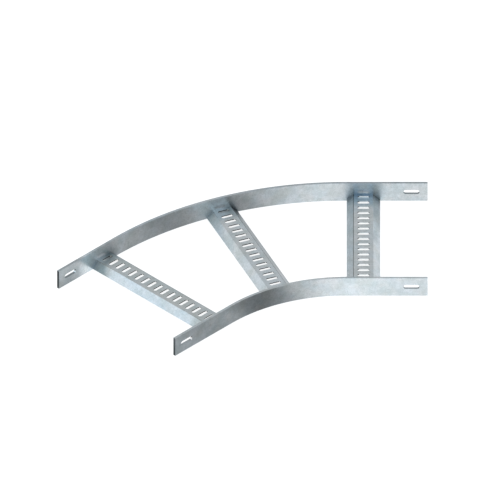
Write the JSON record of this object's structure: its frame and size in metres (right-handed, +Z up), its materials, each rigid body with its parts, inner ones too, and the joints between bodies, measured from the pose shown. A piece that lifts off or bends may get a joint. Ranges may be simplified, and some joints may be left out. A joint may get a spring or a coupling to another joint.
{
  "type": "cable ladder bend",
  "caption": "Flat 45 degree cable ladder bend with flat-bar side rails and slotted channel rungs, for turning a cable run.",
  "frame": {"origin": "middle of the footprint, at the rails' undersides", "axes": "+Z up, +X along the right leg towards its end, +Y from the inner rail to the outer rail on that leg"},
  "size_m": [0.6874, 0.504, 0.04],
  "materials": {
    "galvanised_rail": "hot-dip galvanised, fine dull spangle",
    "galvanised_rung": "hot-dip galvanised sheet, fine dull spangle"
  },
  "bodies": {
    "root": {"inner_rail": "galvanised_rail", "outer_rail": "galvanised_rail", "right_rung": "galvanised_rung", "middle_rung": "galvanised_rung", "left_rung": "galvanised_rung"}
  },
  "joints": []
}
